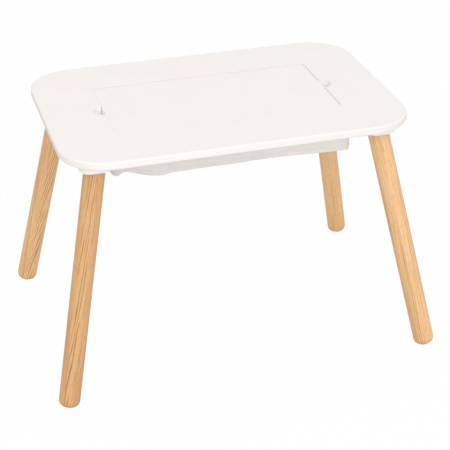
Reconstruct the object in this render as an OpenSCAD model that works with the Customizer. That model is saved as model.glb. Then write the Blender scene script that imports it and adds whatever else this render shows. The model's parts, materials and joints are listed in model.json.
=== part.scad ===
// Kids table with a lift-out lid over a hanging storage bag.
// Units are millimetres. The origin is on the floor under the middle of the top.
// +Z is up, +X runs along the top's length and -Y is the front.

/* [Table top] */
// Length of the table top
top_l = 600; // [560:5:760]
// Width of the table top
top_w = 404; // [380:4:520]
// Thickness of the table top
top_t = 14; // [12:1:20]
// Height of the top's upper face over the floor
table_h = 430; // [380:5:520]
// Radius of the top's corners, seen from above
top_corner_r = 80; // [50:5:100]
// Rounding of the top's outer edges
top_edge_r = 3; // [1:0.5:5]

/* [Opening and lid] */
// Distance from each end of the top to the storage opening
border_x = 103; // [98:1:140]
// Distance from each side of the top to the storage opening
border_y = 103; // [98:1:120]
// Radius of the opening's corners
opening_corner_r = 4; // [4:0.5:8]
// Radius of the half-round finger notch at each end of the opening
finger_r = 17; // [14:1:20]
// Gap between the lid's edge and the opening, all round
lid_gap = 0.5; // [0.4:0.1:2.5]
// How far the lid's face lies below the top's face
lid_drop = 1; // [0:0.5:3]
// Rounding of the lid's edges
lid_edge_r = 0.4; // [0.3:0.1:1.4]

/* [Bag frame] */
// How far the frame reaches under the top, past each end of the opening
end_reach = 12; // [8:0.5:14]
// How far the frame reaches under the top, past each long side of the opening
side_reach = 10; // [8:0.5:12]
// Width of the ledge inside the opening that the lid rests on
ledge_w = 11; // [8:1:16]
// Height of the frame rails
frame_h = 18; // [15:1:24]
// Radius of the frame's outer corners
frame_corner_r = 6; // [3:1:10]

/* [Storage bag] */
// Depth of the bag below the table top
bag_depth = 64; // [45:1:120]
// Thickness of the bag's canvas
canvas_t = 1.5; // [1:0.1:2]
// Rounding of the bag's lower edges
bag_edge_r = 6; // [3:1:7]
// Gap between the canvas and the wood
canvas_gap = 0.3; // [0.2:0.1:0.6]
// Width of the woven tape round the bag's rim
tape_w = 14; // [10:1:18]
// Thickness of the tape
tape_t = 1; // [0.6:0.1:1.4]

/* [Leg blocks] */
// Side of the square block over each leg
block_side = 54; // [50:1:60]
// Radius of the block's corners, seen from below
block_corner_r = 18; // [10:1:20]
// Height of the block
block_h = 16; // [15:1:24]
// Rounding of the block's lower edges
block_edge_r = 1.5; // [0.5:0.5:3]

/* [Legs] */
// Diameter of the legs
leg_d = 36; // [30:1:38]
// Distance from the top's end to the leg's axis, at the top's underside
leg_inset_x = 59; // [50:1:70]
// Distance from the top's side to the leg's axis, at the top's underside
leg_inset_y = 57.5; // [50:0.5:62]
// Lean of the legs along the length, in degrees
lean_x = 11.5; // [6:0.5:14]
// Lean of the legs across the width, in degrees
lean_y = 10.5; // [6:0.5:14]
// Rounding of the leg's lower end
foot_r = 12; // [4:1:14]
// How far the leg's rounded end would reach past the floor before it is cut flat
foot_cut = 2.5; // [1.5:0.5:5]

/* [Leg bolts] */
// Thread diameter of the hanger bolts
bolt_d = 8; // [6:1:8]
// Length of bolt that is screwed into the leg
bolt_in_leg = 34; // [25:1:45]
// Outer diameter of the threaded insert in the block
insert_d = 12; // [11:0.5:13]
// Length of the threaded insert
insert_l = 10; // [8:0.5:11]
// Distance from the block's lower face to the insert, along the leg's axis
insert_set = 2.5; // [2:0.5:3.5]
// How far the bolt's end stays below the insert's top
bolt_short = 1; // [0.5:0.5:2]

/* [Wood screws] */
// Shank diameter of the screws that hold the leg blocks
block_screw_d = 3.5; // [3:0.5:4]
// How far the block screws reach into the top
block_screw_bite = 9; // [6:0.5:10]
// Distance of the block screws from the block's sides
block_screw_inset = 9.5; // [8:0.5:11]
// Shank diameter of the screws that hold the frame
frame_screw_d = 3; // [2.5:0.5:3.5]
// How far the frame screws reach into the top
frame_screw_bite = 7; // [5:0.5:9]
// Screws along each long rail
long_screws = 5; // [3:1:7]
// Distance from a long rail's ends to its nearest screws
long_screw_end = 49; // [30:1:60]
// Distance from an end rail's ends to its screws
end_screw_end = 29; // [15:1:35]
// Gap between screws, bolts or inserts and their holes
fit_gap = 0.1; // [0.05:0.05:0.2]

/* [Staples] */
// Width of a staple's crown
staple_w = 10; // [8:1:12]
// Length of a staple's legs
staple_leg = 8; // [6:1:10]
// Thickness of the staple wire
staple_t = 0.7; // [0.5:0.1:1]
// Breadth of the staple wire
staple_b = 1.2; // [0.8:0.1:1.6]
// Distance along the rail between a staple and the frame screw beside it
staple_off = 18; // [10:1:18]

/* [Hidden] */

$fn = 96;
past = 1; // how far a cutting tool runs past the face it cuts

white_lacquer = [0.96, 0.94, 0.92];
white_paint = [0.93, 0.91, 0.89];
natural_wood = [0.87, 0.67, 0.46];
off_white_canvas = [0.87, 0.84, 0.8];
tape_colour = [0.82, 0.79, 0.74];
zinc = [0.72, 0.73, 0.75];

under_z = table_h - top_t; // underside of the table top
opening_l = top_l - 2 * border_x;
opening_w = top_w - 2 * border_y;
lid_l = opening_l - 2 * lid_gap;
lid_w = opening_w - 2 * lid_gap;
lid_t = top_t - lid_drop;
block_z = under_z - block_h; // lower face of the leg blocks, where the legs begin
frame_z = under_z - frame_h; // lower face of the bag frame

frame_l = opening_l + 2 * end_reach;
frame_w = opening_w + 2 * side_reach;
long_rail_w = side_reach + ledge_w;
end_rail_w = end_reach + ledge_w;
end_rail_l = frame_w - 2 * long_rail_w;

bag_l = frame_l + 2 * (canvas_gap + canvas_t);
bag_w = frame_w + 2 * (canvas_gap + canvas_t);
bag_corner_r = frame_corner_r + canvas_gap + canvas_t;
bag_low_r = min(bag_edge_r, bag_corner_r);
bag_z = under_z - bag_depth;
rim_z = under_z - canvas_gap; // upper edge of the bag

leg_x = top_l / 2 - leg_inset_x; // leg's axis at the underside of the top
leg_y = top_w / 2 - leg_inset_y;
lean = atan(sqrt(pow(tan(lean_x), 2) + pow(tan(lean_y), 2)));
lean_turn = atan2(-tan(lean_y), -tan(lean_x));
block_x = leg_x + block_h * tan(lean_x); // leg's axis at the block's lower face
block_y = leg_y + block_h * tan(lean_y);
leg_l = block_z / cos(lean) + foot_cut; // along the axis, from the block down

block_screw_off = block_side / 2 - block_screw_inset; // screw's distance from the block's middle lines
block_screw_l = block_h + block_screw_bite;
frame_screw_l = frame_h + frame_screw_bite;
head_rim = 0.4; // straight rim of a countersunk head
cross_arm = 0.55; // half length of a screw's cross recess, in shank diameters
cross_half = 0.13; // half breadth of the cross recess, in shank diameters
cross_deep = 0.4; // depth of the cross recess, in shank diameters
screw_point_r = 0.3; // radius of a wood screw's point

insert_top = insert_set + insert_l; // measured along the leg's axis, from the block's lower face
bolt_tip_l = 5; // pointed end of the hanger bolt
bolt_chamfer = 1;
bolt_core_d = bolt_d - 0.8; // diameter of the bolt's wood thread
bolt_shoulder = bolt_d / 2 * tan(lean) + fit_gap; // machine thread begins clear of the leg's slanting top
staple_z = rim_z - tape_w / 2;

// Rectangle with rounded corners, middle on the origin
module rounded_rect(l, w, r) {
    square([l - 2 * r, w], center = true);
    square([l, w - 2 * r], center = true);
    for (sx = [-1, 1], sy = [-1, 1])
        translate([sx * (l / 2 - r), sy * (w / 2 - r)]) circle(r);
}

// Section of a slab's outer band: r wide and t high, its outer edges rounded
module band_section(r, t, low_r, high_r) {
    square([r - low_r, t / 2]);
    translate([0, t / 2]) square([r - high_r, t / 2]);
    translate([0, low_r]) square([r, t - low_r - high_r]);
    intersection() {
        square([r, t]);
        union() {
            if (low_r > 0) translate([r - low_r, low_r]) circle(low_r);
            if (high_r > 0) translate([r - high_r, t - high_r]) circle(high_r);
        }
    }
}

// Slab with rounded corners and rounded lower and upper edges, standing on z = 0
module round_slab(l, w, t, r, low_r, high_r) {
    core_l = l - 2 * r;
    core_w = w - 2 * r;
    translate([-core_l / 2, -core_w / 2, 0]) cube([core_l, core_w, t]);
    for (side = [0, 180]) rotate(side) {
        translate([core_l / 2, core_w / 2, 0])
            rotate_extrude(angle = 90) band_section(r, t, low_r, high_r);
        translate([-core_l / 2, core_w / 2, 0]) rotate(90)
            rotate_extrude(angle = 90) band_section(r, t, low_r, high_r);
        translate([core_l / 2, core_w / 2, 0]) rotate([90, 0, 0])
            linear_extrude(core_w) band_section(r, t, low_r, high_r);
        translate([-core_l / 2, core_w / 2, 0]) rotate([90, 0, 90])
            linear_extrude(core_l) band_section(r, t, low_r, high_r);
    }
}

// Half section of a countersunk screw, head down, grown by gap on all sides
module screw_section(d, l, gap) {
    head_r = d; // a countersunk head is twice as wide as its shank
    shank_r = d / 2;
    cone_end = head_rim + head_r - shank_r;
    polygon([[0, -gap], [head_r + gap, -gap], [head_r + gap, head_rim], [shank_r + gap, cone_end],
        [shank_r + gap, l - d], [screw_point_r + gap, l + gap], [0, l + gap]]);
}

// Countersunk wood screw with a cross recess, head down on z = 0
module wood_screw(d, l) {
    difference() {
        rotate_extrude() screw_section(d, l, 0);
        for (turn = [0, 90]) rotate(turn) translate([-d * cross_arm, -d * cross_half, -past])
            cube([2 * d * cross_arm, 2 * d * cross_half, past + d * cross_deep]);
    }
}

// Hole for such a screw, open below its head
module screw_hole(d, l) {
    rotate_extrude() screw_section(d, l, fit_gap);
    translate([0, 0, -past]) cylinder(h = past, r = d + fit_gap);
}

// Puts children at one corner of the table: x and y are -1 or 1
module at_corner(x, y) {
    mirror([x < 0 ? 1 : 0, 0, 0]) mirror([0, y < 0 ? 1 : 0, 0]) children();
}

// Puts children on the leg's axis where it meets the block: z runs up the axis, x and y stay near the table's
module on_leg_axis() {
    translate([block_x, block_y, block_z]) rotate([0, lean, lean_turn]) rotate(-lean_turn) children();
}

// Puts children at each block screw
module at_block_screws() {
    for (sx = [-1, 1], sy = [-1, 1])
        translate([block_x + sx * block_screw_off, block_y + sy * block_screw_off, block_z]) children();
}

// Puts children at each frame screw of the front rail
module at_front_screws() {
    first = -frame_l / 2 + long_screw_end;
    step = (frame_l - 2 * long_screw_end) / (long_screws - 1);
    for (i = [0 : long_screws - 1])
        translate([first + i * step, -(opening_w + side_reach) / 2, frame_z]) children();
}

// Puts children at each frame screw of the right-hand rail
module at_right_screws() {
    for (sy = [-1, 1])
        translate([(opening_l + end_reach) / 2, sy * (end_rail_l / 2 - end_screw_end), frame_z]) children();
}

// Puts children at all frame screws
module at_frame_screws() {
    for (side = [0, 180]) rotate(side) {
        at_front_screws() children();
        at_right_screws() children();
    }
}

// Top board with its opening, finger notches and blind screw holes
module table_top() {
    color(white_lacquer) difference() {
        translate([0, 0, under_z]) round_slab(top_l, top_w, top_t, top_corner_r, top_edge_r, top_edge_r);
        translate([0, 0, under_z - past])
            linear_extrude(top_t + 2 * past) rounded_rect(opening_l, opening_w, opening_corner_r);
        for (sx = [-1, 1])
            translate([sx * opening_l / 2, 0, under_z - past]) cylinder(h = top_t + 2 * past, r = finger_r);
        for (x = [-1, 1], y = [-1, 1])
            at_corner(x, y) at_block_screws() screw_hole(block_screw_d, block_screw_l);
        at_frame_screws() screw_hole(frame_screw_d, frame_screw_l);
    }
}

// Lift-out panel that closes the opening
module lid() {
    color(white_lacquer) translate([0, 0, under_z])
        round_slab(lid_l, lid_w, lid_t, opening_corner_r - lid_gap, lid_edge_r, lid_edge_r);
}

// Long rail of the bag frame, at the front
module long_rail() {
    color(white_paint) difference() {
        translate([0, 0, frame_z]) linear_extrude(frame_h) intersection() {
            rounded_rect(frame_l, frame_w, frame_corner_r);
            translate([-frame_l / 2, -frame_w / 2]) square([frame_l, long_rail_w]);
        }
        at_front_screws() screw_hole(frame_screw_d, frame_screw_l);
    }
}

// End rail of the bag frame, at the right, between the long rails
module end_rail() {
    color(white_paint) difference() {
        translate([frame_l / 2 - end_rail_w, -end_rail_l / 2, frame_z])
            cube([end_rail_w, end_rail_l, frame_h]);
        at_right_screws() screw_hole(frame_screw_d, frame_screw_l);
    }
}

// Screws that hold the frame to the top
module frame_screws() {
    color(zinc) at_frame_screws() wood_screw(frame_screw_d, frame_screw_l);
}

// Open canvas bag, its rim wrapped round the frame
module storage_bag() {
    bag_h = rim_z - bag_z;
    inner_l = bag_l - 2 * canvas_t;
    inner_w = bag_w - 2 * canvas_t;
    color(off_white_canvas) difference() {
        translate([0, 0, bag_z]) round_slab(bag_l, bag_w, bag_h, bag_corner_r, bag_low_r, 0);
        translate([0, 0, bag_z + canvas_t])
            round_slab(inner_l, inner_w, bag_h, bag_corner_r - canvas_t, bag_low_r - canvas_t, 0);
    }
}

// Woven tape sewn round the outside of the bag's rim
module rim_tape() {
    inner_l = bag_l + 2 * fit_gap;
    inner_w = bag_w + 2 * fit_gap;
    inner_r = bag_corner_r + fit_gap;
    color(tape_colour) translate([0, 0, rim_z - tape_w]) difference() {
        linear_extrude(tape_w)
            rounded_rect(inner_l + 2 * tape_t, inner_w + 2 * tape_t, inner_r + tape_t);
        translate([0, 0, -past]) linear_extrude(tape_w + 2 * past)
            rounded_rect(inner_l, inner_w, inner_r);
    }
}

// One staple: its crown lies on the face at y = 0 and its legs run along +y
module staple() {
    translate([-staple_w / 2, -staple_t, -staple_b / 2]) cube([staple_w, staple_t, staple_b]);
    for (sx = [-1, 1]) translate([(sx * (staple_w - staple_t) - staple_t) / 2, -staple_t, -staple_b / 2])
        cube([staple_t, staple_t + staple_leg, staple_b]);
}

// Staples through tape and canvas into the frame, one on each side of every frame screw
module bag_staples() {
    cover = canvas_gap + canvas_t + fit_gap + tape_t; // from the frame's outer face to the tape's
    rise = staple_z - frame_z;
    color(zinc) for (side = [0, 180], along = [-1, 1]) rotate(side) {
        at_front_screws() translate([along * staple_off, -side_reach / 2 - cover, rise]) staple();
        at_right_screws() translate([end_reach / 2 + cover, along * staple_off, rise]) rotate(90) staple();
    }
}

// Block between the top and a leg, bored along the leg's axis
module leg_block(x, y) {
    bore_h = insert_top + fit_gap;
    bore_d = insert_d + 2 * fit_gap;
    color(white_paint) at_corner(x, y) difference() {
        translate([block_x, block_y, block_z])
            round_slab(block_side, block_side, block_h, block_corner_r, block_edge_r, 0);
        on_leg_axis() translate([0, 0, -insert_d]) cylinder(h = insert_d + bore_h, d = bore_d);
        at_block_screws() screw_hole(block_screw_d, block_screw_l);
    }
}

// Screws that hold one block to the top
module block_screws(x, y) {
    color(zinc) at_corner(x, y) at_block_screws() wood_screw(block_screw_d, block_screw_l);
}

// Threaded insert in a block
module insert_nut(x, y) {
    color(zinc) at_corner(x, y) on_leg_axis() translate([0, 0, insert_set]) difference() {
        cylinder(h = insert_l, d = insert_d);
        translate([0, 0, -past]) cylinder(h = insert_l + 2 * past, d = bolt_d + 2 * fit_gap);
    }
}

// Hanger bolt: wood thread down in the leg, machine thread up in the insert
module hanger_bolt(x, y) {
    top = insert_top - bolt_short;
    core_r = bolt_core_d / 2;
    color(zinc) at_corner(x, y) on_leg_axis() rotate_extrude()
        polygon([[0, -bolt_in_leg], [bolt_chamfer, -bolt_in_leg], [core_r, bolt_tip_l - bolt_in_leg],
            [core_r, bolt_shoulder], [bolt_d / 2, bolt_shoulder], [bolt_d / 2, top - bolt_chamfer],
            [bolt_d / 2 - bolt_chamfer, top], [0, top]]);
}

// Round leg, cut level under the block and flat on the floor
module leg(x, y) {
    bore_d = bolt_core_d + 2 * fit_gap;
    color(natural_wood) at_corner(x, y) difference() {
        intersection() {
            on_leg_axis() translate([0, 0, -leg_l])
                rotate_extrude() band_section(leg_d / 2, leg_l + leg_d, foot_r, 0);
            cube([top_l, top_w, block_z]);
        }
        on_leg_axis() translate([0, 0, -bolt_in_leg - fit_gap]) cylinder(h = bolt_in_leg + leg_d, d = bore_d);
    }
}

table_top();
lid();
long_rail();  // frame_rail_front
rotate(180) long_rail();  // frame_rail_back
rotate(180) end_rail();  // frame_rail_left
end_rail();  // frame_rail_right
frame_screws();
storage_bag();
rim_tape();
bag_staples();
leg_block(-1, -1);  // leg_block_front_left
leg_block(1, -1);  // leg_block_front_right
leg_block(-1, 1);  // leg_block_back_left
leg_block(1, 1);  // leg_block_back_right
block_screws(-1, -1);  // block_screws_front_left
block_screws(1, -1);  // block_screws_front_right
block_screws(-1, 1);  // block_screws_back_left
block_screws(1, 1);  // block_screws_back_right
insert_nut(-1, -1);  // insert_nut_front_left
insert_nut(1, -1);  // insert_nut_front_right
insert_nut(-1, 1);  // insert_nut_back_left
insert_nut(1, 1);  // insert_nut_back_right
hanger_bolt(-1, -1);  // hanger_bolt_front_left
hanger_bolt(1, -1);  // hanger_bolt_front_right
hanger_bolt(-1, 1);  // hanger_bolt_back_left
hanger_bolt(1, 1);  // hanger_bolt_back_right
leg(-1, -1);  // leg_front_left
leg(1, -1);  // leg_front_right
leg(-1, 1);  // leg_back_left
leg(1, 1);  // leg_back_right
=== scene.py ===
import json
import math

import bpy
import bmesh
from mathutils import Matrix, Vector, noise
from mathutils.bvhtree import BVHTree


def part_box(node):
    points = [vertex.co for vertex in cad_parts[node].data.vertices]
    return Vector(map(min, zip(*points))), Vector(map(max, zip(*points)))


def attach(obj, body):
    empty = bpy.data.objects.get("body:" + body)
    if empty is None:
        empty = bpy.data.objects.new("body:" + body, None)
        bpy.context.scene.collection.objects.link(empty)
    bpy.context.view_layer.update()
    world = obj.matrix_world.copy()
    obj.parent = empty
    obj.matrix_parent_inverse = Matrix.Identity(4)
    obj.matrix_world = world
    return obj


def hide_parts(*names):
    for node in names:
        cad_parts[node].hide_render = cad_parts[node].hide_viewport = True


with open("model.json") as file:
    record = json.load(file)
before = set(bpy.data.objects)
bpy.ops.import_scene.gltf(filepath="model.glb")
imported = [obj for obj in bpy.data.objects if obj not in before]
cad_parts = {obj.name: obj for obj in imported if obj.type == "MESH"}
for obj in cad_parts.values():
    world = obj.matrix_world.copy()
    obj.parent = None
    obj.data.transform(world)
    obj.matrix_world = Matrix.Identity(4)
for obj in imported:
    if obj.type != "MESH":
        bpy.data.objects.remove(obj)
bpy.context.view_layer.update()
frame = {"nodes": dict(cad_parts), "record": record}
cadNodes = frame["nodes"]
scene = bpy.context.scene
corners = ("front_left", "front_right", "back_left", "back_right")
print("frame loaded:", len(cadNodes), "nodes")

camera = {
    "lens": 106.92,  # mm
    "sensor": 36,  # mm
    "place": (-0.5907, -2.0551, 1.3515),
    "turn": -16.467,  # degrees, about the vertical
    "tilt": -28.798,  # degrees, below the horizon
    "roll": -0.412,
}


def addCamera():
    eye = bpy.data.objects.new("camera", bpy.data.cameras.new("camera"))
    eye.data.lens = camera["lens"]
    eye.data.sensor_width = camera["sensor"]
    turn = Matrix.Rotation(math.radians(camera["turn"]), 4, "Z")
    tilt = Matrix.Rotation(math.radians(90 + camera["tilt"]), 4, "X")
    roll = Matrix.Rotation(math.radians(camera["roll"]), 4, "Z")
    eye.matrix_world = Matrix.Translation(camera["place"]) @ turn @ tilt @ roll
    scene.collection.objects.link(eye)
    scene.camera = eye


def addNode(tree, kind, inputs=None, **settings):
    node = tree.nodes.new(kind)
    for name, value in settings.items():
        setattr(node, name, value)
    for socket, value in (inputs or {}).items():
        if isinstance(value, bpy.types.Node):
            value = value.outputs[0]  # a node stands for its first output
        if isinstance(value, bpy.types.NodeSocket):
            tree.links.new(value, node.inputs[socket])
        else:
            node.inputs[socket].default_value = value
    return node


def addMath(tree, operation, first, second=0.5, clamp=False):
    return addNode(tree, "ShaderNodeMath", {0: first, 1: second}, operation=operation,
                   use_clamp=clamp).outputs[0]


def addMix(tree, share, first, second):
    return addNode(tree, "ShaderNodeMix", {0: share, 6: first, 7: second}, data_type="RGBA").outputs[2]


def addVector(tree, operation, first, second=(0, 0, 0)):
    outputs = addNode(tree, "ShaderNodeVectorMath", {0: first, 1: second}, operation=operation).outputs
    return outputs["Value" if operation in ("LENGTH", "DOT_PRODUCT") else "Vector"]


def addNoise(tree, place, detail, scale=1.0):
    return addNode(tree, "ShaderNodeTexNoise", {"Vector": place, "Detail": detail,
                                                "Scale": scale}).outputs["Fac"]


def mapRange(tree, value, low, high, fromLow=0.0, fromHigh=1.0, **settings):
    inputs = {0: value, 1: fromLow, 2: fromHigh, 3: low, 4: high}
    return addNode(tree, "ShaderNodeMapRange", inputs, **settings).outputs[0]


def connect(tree, sockets, values):
    for label, value in values.items():
        tree.links.new(value, sockets[label])


studio = {
    "skyLevel": 0.9,  # light from all round
    "floorColour": (0.9, 0.895, 0.89, 1),
    "floorBounce": (0.65, 0.645, 0.64, 1),  # what it throws back at the table
    "floorSize": 14,  # metres
    "floorDrop": 0.0004,  # keeps the floor clear of the flat feet
    "footGap": 0.0016,  # closer than this below a foot the floor is clear
    "floorGlow": 0.97,  # share of the floor that shows as plain white
    "aim": (0, 0, 0.3),  # what the lamps point at
}

lamps = {
    "frontLamp": {"place": (-0.5, -3.3, 2.1), "size": 2.2, "watts": 34},
    "lowLamp": {"place": (-0.3, -3.7, 0.8), "size": 2.0, "watts": 12},
}


def seenDirectly(tree):
    rays = addNode(tree, "ShaderNodeLightPath").outputs
    seen = addMath(tree, "MAXIMUM", rays["Is Camera Ray"], rays["Is Glossy Ray"])
    return addMath(tree, "MAXIMUM", seen, rays["Is Transmission Ray"])


def addWorld():
    world = bpy.data.worlds.new("studio")
    scene.world = world
    world.use_nodes = True
    tree = world.node_tree
    tree.nodes.clear()
    light = addNode(tree, "ShaderNodeBackground", {"Color": (1, 1, 1, 1), "Strength": studio["skyLevel"]})
    white = addNode(tree, "ShaderNodeBackground", {"Color": (1, 1, 1, 1), "Strength": 1})
    mixed = addNode(tree, "ShaderNodeMixShader",
                    {0: seenDirectly(tree), 1: light, 2: white})
    addNode(tree, "ShaderNodeOutputWorld", {"Surface": mixed})


def addFloor():
    half = studio["floorSize"] / 2
    mesh = bpy.data.meshes.new("floor")
    rim = [(x * half, y * half, -studio["floorDrop"]) for x, y in ((-1, -1), (1, -1), (1, 1), (-1, 1))]
    mesh.from_pydata(rim, [], [(0, 1, 2, 3)])
    floor = bpy.data.objects.new("floor", mesh)
    scene.collection.objects.link(floor)
    material = bpy.data.materials.new("paleFloor")
    material.use_nodes = True
    tree = material.node_tree
    tree.nodes.clear()
    rays = addNode(tree, "ShaderNodeLightPath")
    seen = rays.outputs["Is Camera Ray"]
    matte = addNode(tree, "ShaderNodeBsdfDiffuse",
                    {"Color": addMix(tree, seen, studio["floorBounce"], studio["floorColour"])})
    glow = addNode(tree, "ShaderNodeEmission", {"Color": (1, 1, 1, 1), "Strength": 1})
    share = addMath(tree, "MULTIPLY", seen, studio["floorGlow"])
    top = addNode(tree, "ShaderNodeMixShader", {0: share, 1: matte, 2: glow})
    side = addNode(tree, "ShaderNodeNewGeometry").outputs["Backfacing"]  # from below the floor is clear
    near = addMath(tree, "LESS_THAN", rays.outputs["Ray Length"], studio["footGap"])
    clear = addNode(tree, "ShaderNodeBsdfTransparent")
    mixed = addNode(tree, "ShaderNodeMixShader",
                    {0: addMath(tree, "MAXIMUM", side, near), 1: top, 2: clear})
    addNode(tree, "ShaderNodeOutputMaterial", {"Surface": mixed})
    mesh.materials.append(material)


def addLamps():
    for name, lamp in lamps.items():
        light = bpy.data.lights.new(name, "AREA")
        light.size = lamp["size"]
        light.energy = lamp["watts"]
        stand = bpy.data.objects.new(name, light)
        stand.location = lamp["place"]
        stand.rotation_mode = "QUATERNION"
        stand.rotation_quaternion = (Vector(studio["aim"]) - Vector(lamp["place"])).to_track_quat("-Z", "Y")
        stand.visible_glossy = False  # no lamp glares in the lacquer
        scene.collection.objects.link(stand)


addCamera()
addWorld()
addFloor()
addLamps()
scene.view_settings.view_transform = "Standard"
print("studio set")


def startGroup(name, inputs, outputs):
    group = bpy.data.node_groups.new(name, "ShaderNodeTree")
    for label, kind, value in inputs:
        socket = group.interface.new_socket(label, in_out="INPUT", socket_type=kind)
        if value is not None:
            socket.default_value = value
    for label, kind in outputs:
        group.interface.new_socket(label, in_out="OUTPUT", socket_type=kind)
    return group, addNode(group, "NodeGroupInput").outputs, addNode(group, "NodeGroupOutput").inputs


def risingLine(tree, place, start, peak):
    rise = mapRange(tree, place, 0.0, 1.0, start, peak, interpolation_type="SMOOTHSTEP")
    fall = mapRange(tree, place, 1.0, 0.0, peak, 1.0, interpolation_type="SMOOTHSTEP")
    return addMath(tree, "MULTIPLY", rise, fall)


grainPattern = {  # pairs of waves per metre, across and along the tree
    "slowBend": (38, 4.5),
    "quickBend": (160, 16),
    "fibre": (900, 14),
    "streak": (340, 6),
    "pore": (2300, 90),
    "tone": (30, 3),
    "quickShare": 0.25,  # strength of the quick bends beside the slow ones
    "lateWood": (0.25, 0.9),  # where a ring starts to darken and where it is darkest
    "faintRing": 0.35,  # strength of the faintest ring
    "poreLevels": (0.63, 0.72),  # noise levels where a pore begins and is full
}


def makeWoodGrain():
    tree, given, result = startGroup(
        "woodGrain",
        [("Vector", "NodeSocketVector", None),  # metres, z along the middle of the tree
         ("Ring Width", "NodeSocketFloat", 0.004),
         ("Waver", "NodeSocketFloat", 0.002)],
        [("Rings", "NodeSocketFloat"), ("Streaks", "NodeSocketFloat"), ("Fibres", "NodeSocketFloat"),
         ("Pores", "NodeSocketFloat"), ("Tone", "NodeSocketFloat")])

    def stretched(name, detail=2.0):
        across, along = grainPattern[name]
        return addNoise(tree, addVector(tree, "MULTIPLY", given["Vector"], (across, across, along)), detail)

    radius = addVector(tree, "LENGTH", addVector(tree, "MULTIPLY", given["Vector"], (1, 1, 0)))
    slow = addMath(tree, "SUBTRACT", stretched("slowBend"), 0.5)
    quick = addMath(tree, "SUBTRACT", stretched("quickBend"), 0.5)
    shift = addMath(tree, "ADD", slow, addMath(tree, "MULTIPLY", quick, grainPattern["quickShare"]))
    warped = addMath(tree, "ADD", radius, addMath(tree, "MULTIPLY", shift, given["Waver"]))
    turns = addMath(tree, "DIVIDE", warped, given["Ring Width"])
    number = addMath(tree, "FLOOR", turns)
    strength = addNode(tree, "ShaderNodeTexWhiteNoise", {"W": number}, noise_dimensions="1D").outputs["Value"]
    strength = mapRange(tree, strength, grainPattern["faintRing"], 1.0)
    ring = risingLine(tree, addMath(tree, "FRACT", turns), *grainPattern["lateWood"])
    pores = mapRange(tree, stretched("pore", 0.0), 0.0, 1.0, *grainPattern["poreLevels"])
    connect(tree, result, {"Rings": addMath(tree, "MULTIPLY", ring, strength), "Pores": pores,
                           "Streaks": stretched("streak"), "Fibres": stretched("fibre", 3.0),
                           "Tone": stretched("tone", 1.0)})
    return tree


figurePattern = {
    "bends": 11.0,  # of the band, per metre of leg
    "bendBy": 0.004,  # metres
    "core": 0.3,  # share of the band's width that has the lines at full strength
    "drift": (0.4, 9.0),  # of the lines: waves per line, and per metre of leg
    "driftBy": 2.2,  # lines
    "line": (0.3, 0.8),  # where a line starts to darken and where it is darkest
    "fades": 7.0,  # of each line, per metre of leg
    "fadeLevels": (0.3, 0.52),  # noise levels where a line shows first and in full
}


def makeFigure():
    tree, given, result = startGroup(
        "grainFigure",
        [("Vector", "NodeSocketVector", None),  # metres, z along the leg
         ("Across", "NodeSocketVector", (1, 0, 0)),
         ("Offset", "NodeSocketFloat", 0.0),  # of the band from the leg's axis
         ("Width", "NodeSocketFloat", 0.008),
         ("Slant", "NodeSocketFloat", 0.08),  # of the lines against the leg
         ("Spacing", "NodeSocketFloat", 0.004)],
        [("Lines", "NodeSocketFloat"), ("Band", "NodeSocketFloat")])
    along = addNode(tree, "ShaderNodeSeparateXYZ", {0: given["Vector"]}).outputs[2]
    across = addVector(tree, "DOT_PRODUCT", given["Vector"], given["Across"])
    aside = addMath(tree, "SUBTRACT", across, given["Offset"])
    bends = addNode(tree, "ShaderNodeTexNoise",
                    {"W": addMath(tree, "MULTIPLY", along, figurePattern["bends"]), "Scale": 1.0},
                    noise_dimensions="1D").outputs["Fac"]
    bends = addMath(tree, "MULTIPLY", addMath(tree, "SUBTRACT", bends, 0.5), figurePattern["bendBy"])
    aside = addMath(tree, "ADD", aside, bends)
    core = addMath(tree, "MULTIPLY", given["Width"], figurePattern["core"])
    band = mapRange(tree, addMath(tree, "ABSOLUTE", aside), 1.0, 0.0, core, given["Width"],
                    interpolation_type="SMOOTHSTEP")
    slanted = addMath(tree, "SUBTRACT", aside, addMath(tree, "MULTIPLY", along, given["Slant"]))
    turns = addMath(tree, "DIVIDE", slanted, given["Spacing"])

    def patchy(number, rate, detail):
        place = addNode(tree, "ShaderNodeCombineXYZ", {0: number, 1: addMath(tree, "MULTIPLY", along, rate)})
        return addNoise(tree, place, detail)

    driftAcross, driftAlong = figurePattern["drift"]
    drift = patchy(addMath(tree, "MULTIPLY", turns, driftAcross), driftAlong, 2.0)
    turns = addMath(tree, "ADD", turns, addMath(tree, "MULTIPLY", drift, figurePattern["driftBy"]))
    line = risingLine(tree, addMath(tree, "FRACT", turns), *figurePattern["line"])
    fade = patchy(addMath(tree, "FLOOR", turns), figurePattern["fades"], 0.0)
    fade = mapRange(tree, fade, 0.0, 1.0, *figurePattern["fadeLevels"])
    connect(tree, result, {"Lines": addMath(tree, "MULTIPLY", line, fade), "Band": band})
    return tree


weavePattern = {
    "wobbles": 260.0,  # of the threads, per metre
    "under": 0.45,  # height of a thread where it dips under the next
    "slubs": (900, 60, 1),  # thick places, per metre across and along the threads
    "slubShare": 0.4,  # of a thread's tone
}


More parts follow.
